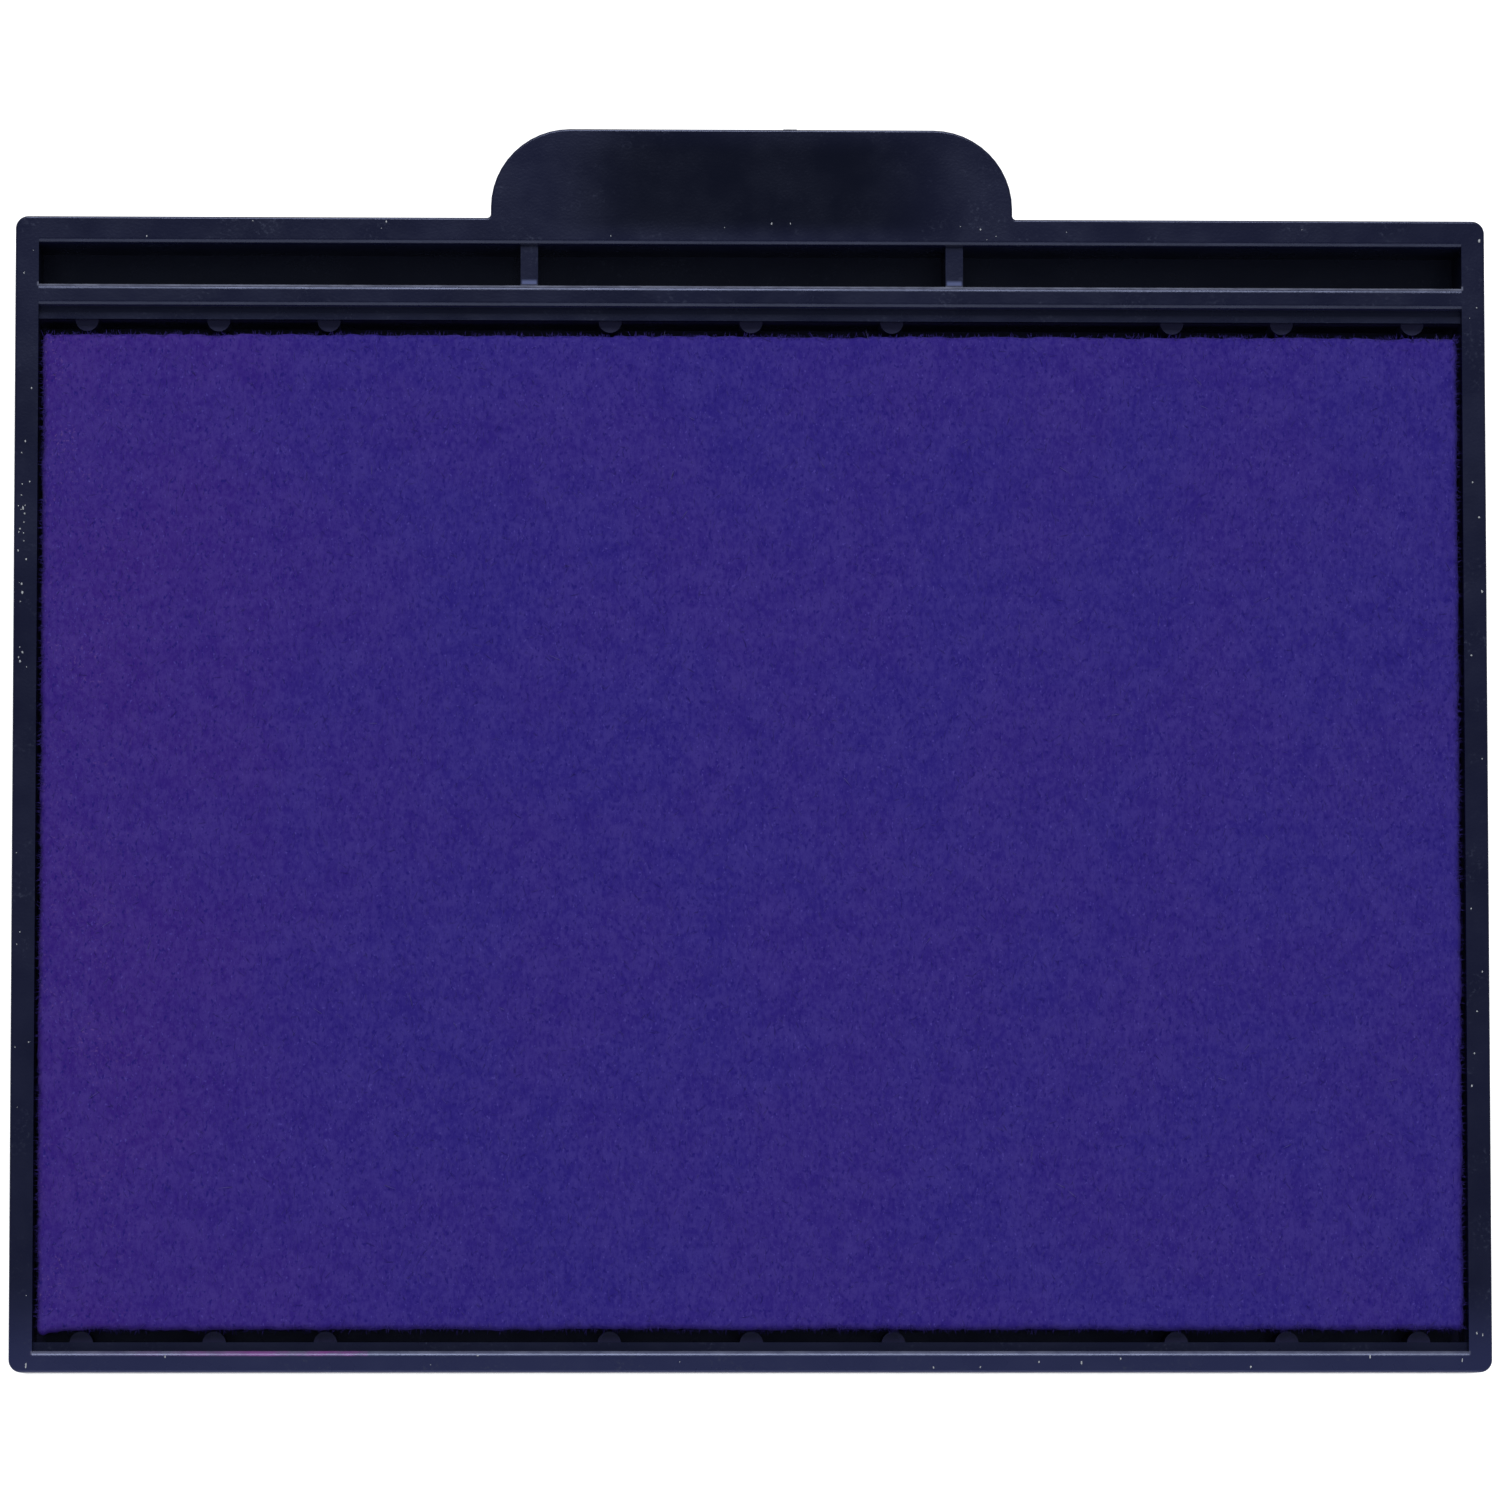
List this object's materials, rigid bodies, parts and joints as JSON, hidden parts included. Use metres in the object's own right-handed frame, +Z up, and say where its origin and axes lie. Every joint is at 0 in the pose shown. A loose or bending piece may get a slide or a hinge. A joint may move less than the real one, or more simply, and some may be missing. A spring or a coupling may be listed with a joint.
{
  "type": "ink pad cassette",
  "caption": "Flat rectangular ink cassette for a self-inking stamp: moulded tray with finger tab and rear trough, holding an ink-soaked felt pad.",
  "frame": {"origin": "on the underside of the case, in the middle of its rectangle without the tab", "axes": "+Z up out of the felt, +Y from the pad to the finger tab, +X along the long side"},
  "size_m": [0.076, 0.0643, 0.006],
  "materials": {
    "case_plastic": "satin, fine spark-eroded grain",
    "reservoir_felt": "soft felt, soaked with violet ink",
    "inked_felt": "dense short-fibre felt, soaked with violet ink"
  },
  "bodies": {
    "root": {"cassette_case": "case_plastic", "reservoir_felt": "reservoir_felt", "face_felt": "inked_felt"}
  },
  "joints": []
}
